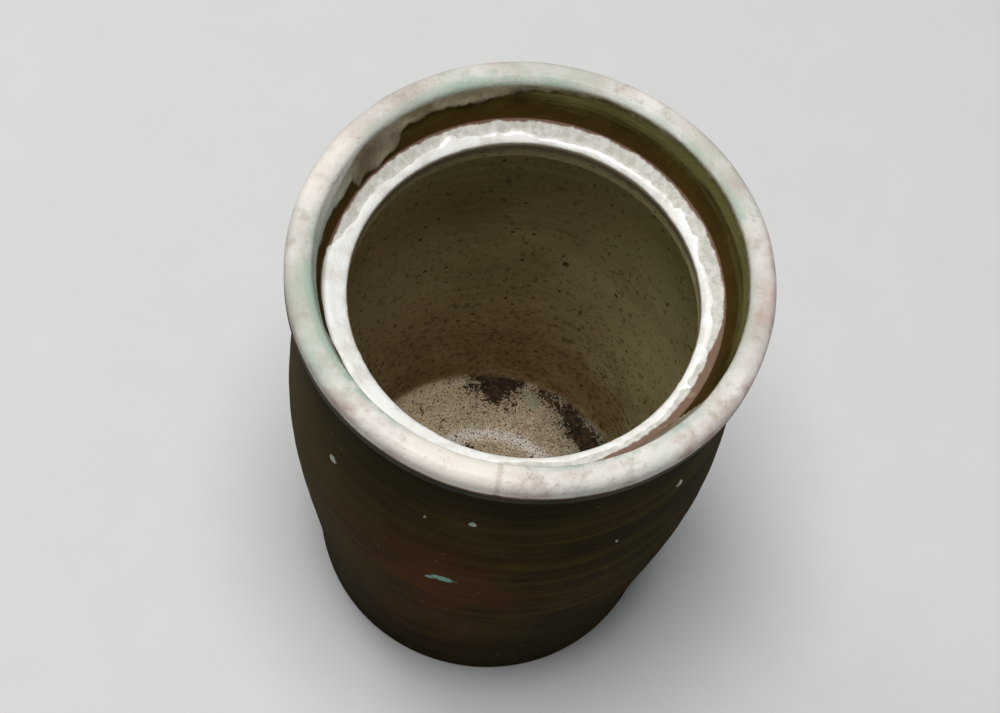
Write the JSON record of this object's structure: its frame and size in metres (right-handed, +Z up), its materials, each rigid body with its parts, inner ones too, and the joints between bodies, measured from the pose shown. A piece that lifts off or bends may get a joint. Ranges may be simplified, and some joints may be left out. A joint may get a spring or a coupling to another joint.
{
  "type": "crock fermenter",
  "caption": "Round stoneware fermenting crock with a sunk lid seat, a knobbed lid that lies behind it, and half-round press weights stacked on its inside floor.",
  "frame": {"origin": "centre of the crock's flat base, on the surface that it stands on", "axes": "+Z up along the crock's axis, +Y to the back, where the lid lies, and +X to the right"},
  "size_m": [0.19, 0.345, 0.254],
  "materials": {
    "ash_glaze": "dark olive-brown ash glaze, worn cream on the rim, satin",
    "lid_glaze": "olive-brown ash glaze on top, bare below, satin",
    "bare_stoneware": "unglazed buff stoneware, matt"
  },
  "bodies": {
    "crock": {"crock_body": "ash_glaze"},
    "lid": {"lid": "lid_glaze"},
    "lower_stone": {"weight_stone_lower": "bare_stoneware"},
    "upper_stone": {"weight_stone_upper": "bare_stoneware"}
  },
  "joints": [
    {"name": "lid_lift", "type": "slide", "parent": "crock", "child": "lid", "axis": [0, 0, 1], "range_m": [0, 0.3]},
    {"name": "lower_stone_lift", "type": "slide", "parent": "crock", "child": "lower_stone", "axis": [0, 0, 1], "range_m": [0, 0.26]},
    {"name": "upper_stone_lift", "type": "slide", "parent": "lower_stone", "child": "upper_stone", "axis": [0, 0, 1], "range_m": [0, 0.26]}
  ]
}
